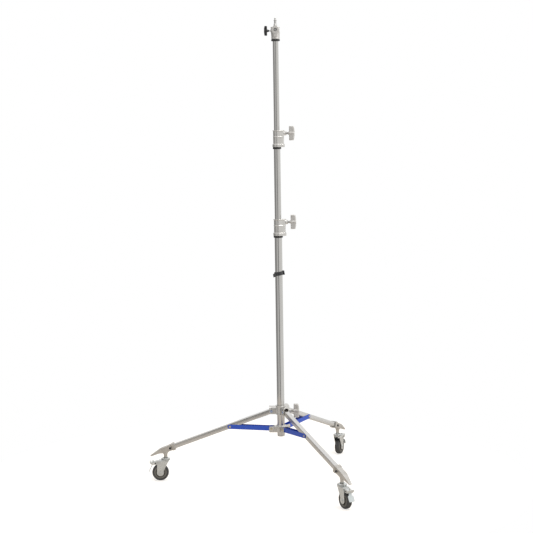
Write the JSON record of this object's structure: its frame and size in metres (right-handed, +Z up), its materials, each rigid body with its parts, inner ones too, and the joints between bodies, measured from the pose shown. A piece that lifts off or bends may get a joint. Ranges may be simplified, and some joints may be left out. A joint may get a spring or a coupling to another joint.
{
  "type": "rolling light stand",
  "caption": "Rolling telescopic light stand: clamped risers, a socket with a folding pin on top, and a folding base of braced legs on braked swivel casters",
  "frame": {"origin": "on the floor, under the middle of the stand's bounding box at rest", "axes": "+Z up along the column; +X towards the clamp screws of the column and away from leg 1; +Y towards the back, between legs 1 and 3"},
  "size_m": [1.095, 1.2648, 2.4527],
  "materials": {
    "tube_steel": "bright drawn tube, streaked along its length",
    "cast_alloy": "fine satin as-cast surface",
    "zinc_steel": "bright zinc plate",
    "pin_steel": "turned and polished",
    "brass": "yellow passivated",
    "blue_enamel": "satin blue enamel",
    "tyre_rubber": "matt grey rubber",
    "wheel_plastic": "moulded grey plastic",
    "black_plastic": "satin black moulding",
    "strap_fabric": "black hook-and-loop webbing",
    "pedal_steel": "pale grey enamelled pressing"
  },
  "bodies": {
    "base": {"base_tube": "tube_steel", "base_end_plug": "cast_alloy", "lower_spider": "cast_alloy", "base_collar": "cast_alloy", "base_collar_ring": "black_plastic", "base_pad": "brass", "cable_strap": "strap_fabric", "brace_bolt_1": "brass", "brace_bolt_2": "brass", "brace_bolt_3": "brass"},
    "base_knob": {"base_knob": "cast_alloy"},
    "riser_1": {"riser_1_tube": "tube_steel", "riser_1_bush": "black_plastic", "riser_collar": "cast_alloy", "riser_collar_ring": "black_plastic", "riser_pad": "brass"},
    "riser_knob": {"riser_knob": "cast_alloy"},
    "riser_2": {"riser_2_tube": "tube_steel", "riser_2_bush": "black_plastic", "socket": "cast_alloy", "socket_ring": "black_plastic", "pin_hinge_bolt": "zinc_steel"},
    "socket_knob": {"socket_knob": "black_plastic"},
    "pin": {"baby_pin": "pin_steel"},
    "spider": {"upper_spider": "cast_alloy", "spider_pad": "brass", "leg_bolt_1": "zinc_steel", "leg_bolt_2": "zinc_steel", "leg_bolt_3": "zinc_steel"},
    "spider_knob": {"spider_knob": "cast_alloy"},
    "leg_1": {"leg_1": "tube_steel", "foot_1": "cast_alloy", "caster_stem_1": "zinc_steel"},
    "brace_1": {"brace_1": "blue_enamel", "brace_rivet_1": "brass"},
    "fork_1": {"fork_1": "zinc_steel", "axle_1": "zinc_steel"},
    "brake_1": {"brake_1": "pedal_steel"},
    "wheel_1": {"tyre_1": "tyre_rubber", "wheel_centre_1": "wheel_plastic"},
    "leg_2": {"leg_2": "tube_steel", "foot_2": "cast_alloy", "caster_stem_2": "zinc_steel"},
    "brace_2": {"brace_2": "blue_enamel", "brace_rivet_2": "brass"},
    "fork_2": {"fork_2": "zinc_steel", "axle_2": "zinc_steel"},
    "brake_2": {"brake_2": "pedal_steel"},
    "wheel_2": {"tyre_2": "tyre_rubber", "wheel_centre_2": "wheel_plastic"},
    "leg_3": {"leg_3": "tube_steel", "foot_3": "cast_alloy", "caster_stem_3": "zinc_steel"},
    "brace_3": {"brace_3": "blue_enamel", "brace_rivet_3": "brass"},
    "fork_3": {"fork_3": "zinc_steel", "axle_3": "zinc_steel"},
    "brake_3": {"brake_3": "pedal_steel"},
    "wheel_3": {"tyre_3": "tyre_rubber", "wheel_centre_3": "wheel_plastic"}
  },
  "joints": [
    {"name": "riser_1_slide", "type": "slide", "parent": "base", "child": "riser_1", "axis": [0, 0, 1], "range_m": [-0.365, 0.48]},
    {"name": "riser_2_slide", "type": "slide", "parent": "riser_1", "child": "riser_2", "axis": [0, 0, 1], "range_m": [-0.455, 0.43]},
    {"name": "pin_fold", "type": "hinge", "parent": "riser_2", "child": "pin", "pos_m": [0.17154, -0.00199, 2.3912], "axis": [0, 1, 0], "range_deg": [0, 90]},
    {"name": "base_knob_turn", "type": "hinge", "parent": "base", "child": "base_knob", "pos_m": [0.23154, -0.00199, 1.3884], "axis": [1, 0, 0], "range_deg": [0, 450]},
    {"name": "riser_knob_turn", "type": "hinge", "parent": "riser_1", "child": "riser_knob", "pos_m": [0.23154, -0.00199, 1.8552], "axis": [1, 0, 0], "range_deg": [0, 450]},
    {"name": "socket_knob_turn", "type": "hinge", "parent": "riser_2", "child": "socket_knob", "pos_m": [0.14154, -0.00199, 2.3872], "axis": [-1, 0, 0], "range_deg": [0, 450]},
    {"name": "spider_slide", "type": "slide", "parent": "base", "child": "spider", "axis": [0, 0, 1], "range_m": [0, 0.33]},
    {"name": "spider_knob_turn", "type": "hinge", "parent": "spider", "child": "spider_knob", "pos_m": [0.23154, -0.00199, 0.3748], "axis": [1, 0, 0], "range_deg": [0, 450]},
    {"name": "leg_1_hinge", "type": "hinge", "parent": "spider", "child": "leg_1", "pos_m": [0.12104, -0.00199, 0.3748], "axis": [0, -1, 0], "range_deg": [0, 46.7]},
    {"name": "brace_1_hinge", "type": "hinge", "parent": "base", "child": "brace_1", "pos_m": [0.12104, -0.00199, 0.2811], "axis": [0, -1, 0], "range_deg": [-62.48, 0]},
    {"name": "caster_1_swivel", "type": "hinge", "parent": "leg_1", "child": "fork_1", "pos_m": [-0.45376, -0.00199, 0.11142], "axis": [0, 0, 1], "continuous": true},
    {"name": "wheel_1_spin", "type": "hinge", "parent": "fork_1", "child": "wheel_1", "pos_m": [-0.48272, -0.00351, 0.04462], "axis": [0.0523, -0.9986, 0], "continuous": true},
    {"name": "brake_1_press", "type": "hinge", "parent": "fork_1", "child": "brake_1", "pos_m": [-0.4951, -0.00415, 0.09312], "axis": [0.0523, -0.9986, 0], "range_deg": [0, 10]},
    {"name": "leg_2_hinge", "type": "hinge", "parent": "spider", "child": "leg_2", "pos_m": [0.19679, -0.04572, 0.3748], "axis": [0.866, 0.5, 0], "range_deg": [0, 46.7]},
    {"name": "brace_2_hinge", "type": "hinge", "parent": "base", "child": "brace_2", "pos_m": [0.19679, -0.04572, 0.2811], "axis": [0.866, 0.5, 0], "range_deg": [-62.48, 0]},
    {"name": "caster_2_swivel", "type": "hinge", "parent": "leg_2", "child": "fork_2", "pos_m": [0.48419, -0.54351, 0.11142], "axis": [0, 0, 1], "continuous": true},
    {"name": "wheel_2_spin", "type": "hinge", "parent": "fork_2", "child": "wheel_2", "pos_m": [0.49913, -0.56837, 0.04462], "axis": [0.8572, 0.515, 0], "continuous": true},
    {"name": "brake_2_press", "type": "hinge", "parent": "fork_2", "child": "brake_2", "pos_m": [0.50552, -0.579, 0.09312], "axis": [0.8572, 0.515, 0], "range_deg": [0, 10]},
    {"name": "leg_3_hinge", "type": "hinge", "parent": "spider", "child": "leg_3", "pos_m": [0.19679, 0.04175, 0.3748], "axis": [-0.866, 0.5, 0], "range_deg": [0, 46.7]},
    {"name": "brace_3_hinge", "type": "hinge", "parent": "base", "child": "brace_3", "pos_m": [0.19679, 0.04175, 0.2811], "axis": [-0.866, 0.5, 0], "range_deg": [-62.48, 0]},
    {"name": "caster_3_swivel", "type": "hinge", "parent": "leg_3", "child": "fork_3", "pos_m": [0.48419, 0.53954, 0.11142], "axis": [0, 0, 1], "continuous": true},
    {"name": "wheel_3_spin", "type": "hinge", "parent": "fork_3", "child": "wheel_3", "pos_m": [0.49506, 0.56643, 0.04462], "axis": [-0.9272, 0.3746, 0], "continuous": true},
    {"name": "brake_3_press", "type": "hinge", "parent": "fork_3", "child": "brake_3", "pos_m": [0.4997, 0.57792, 0.09312], "axis": [-0.9272, 0.3746, 0], "range_deg": [0, 10]}
  ],
  "couplings": [
    {"joint": "leg_1_hinge", "follows": "spider_slide", "rad_per_m": 2.469},
    {"joint": "brace_1_hinge", "follows": "spider_slide", "rad_per_m": -3.3032},
    {"joint": "leg_2_hinge", "follows": "spider_slide", "rad_per_m": 2.469},
    {"joint": "brace_2_hinge", "follows": "spider_slide", "rad_per_m": -3.3032},
    {"joint": "leg_3_hinge", "follows": "spider_slide", "rad_per_m": 2.469},
    {"joint": "brace_3_hinge", "follows": "spider_slide", "rad_per_m": -3.3032}
  ]
}
